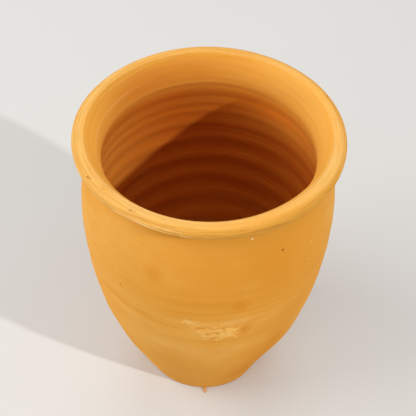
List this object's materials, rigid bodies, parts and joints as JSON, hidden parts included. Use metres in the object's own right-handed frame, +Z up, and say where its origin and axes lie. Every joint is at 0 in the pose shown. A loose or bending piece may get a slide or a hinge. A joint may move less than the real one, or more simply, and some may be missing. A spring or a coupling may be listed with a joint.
{
  "type": "bud vase",
  "caption": "Small wheel-thrown terracotta bud vase with a narrow foot, swelling belly, drawn-in neck and flared, rolled-out lip; stands free and holds a few short stems.",
  "frame": {"origin": "centre of the foot, on the surface the vase stands on", "axes": "+Z up along the vessel's axis of turning, -Y towards the front, where the crust of pale slip is"},
  "size_m": [0.0848, 0.0849, 0.117],
  "materials": {
    "terracotta": "matte",
    "pale_slip": "matte"
  },
  "bodies": {
    "root": {"vase_body": "terracotta", "slip_patch": "pale_slip", "cutting_tail": "terracotta", "rim_crumb": "pale_slip"}
  },
  "joints": []
}
